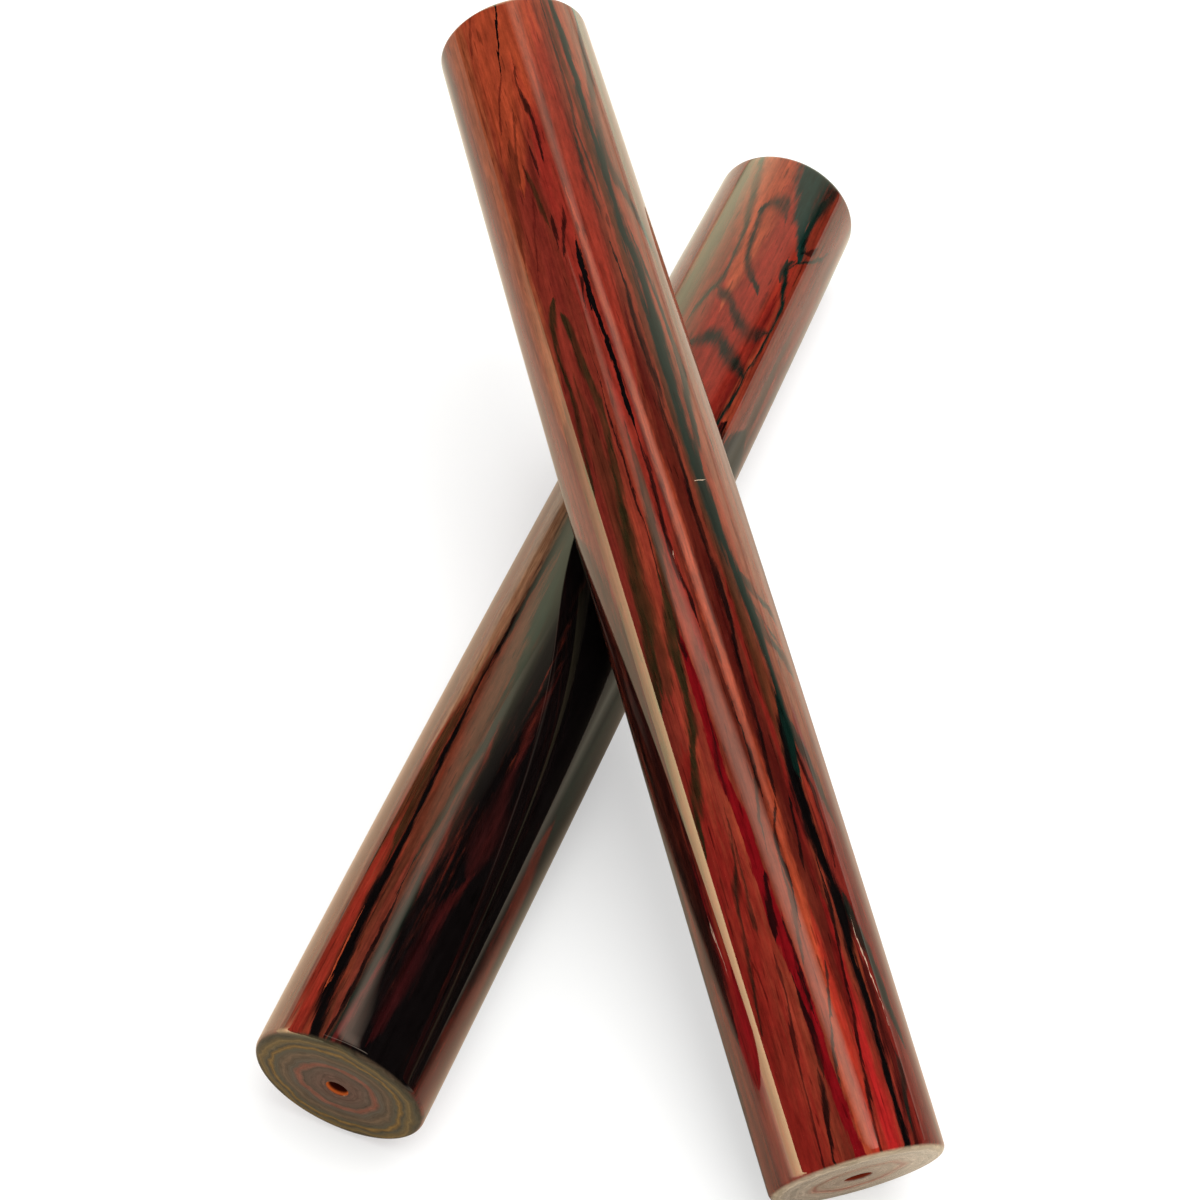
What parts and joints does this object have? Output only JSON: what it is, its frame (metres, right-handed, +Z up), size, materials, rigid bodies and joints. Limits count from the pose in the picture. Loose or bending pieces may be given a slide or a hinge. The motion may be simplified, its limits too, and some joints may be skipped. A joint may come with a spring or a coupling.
{
  "type": "claves",
  "caption": "Turned hardwood claves, slightly barrelled, with rounded end edges and small centre holes in flat ends; the striker rests across the resonator.",
  "frame": {"origin": "middle of the pair's footprint, on the plane that the claves lie on", "axes": "+Z up, +Y midway between the two claves from their near ends to their far ends, +X to the right of it"},
  "size_m": [0.0986, 0.2069, 0.0743],
  "materials": {
    "resonator_wood": "gloss lacquer over dark streaked rosewood",
    "striker_wood": "gloss lacquer over red streaked rosewood"
  },
  "bodies": {
    "resonator": {"resonator_clave": "resonator_wood"},
    "striker": {"striker_clave": "striker_wood"}
  },
  "joints": [
    {"name": "striker_lift", "type": "slide", "parent": "resonator", "child": "striker", "axis": [0, 0, 1], "range_m": [0, 0.12]}
  ]
}
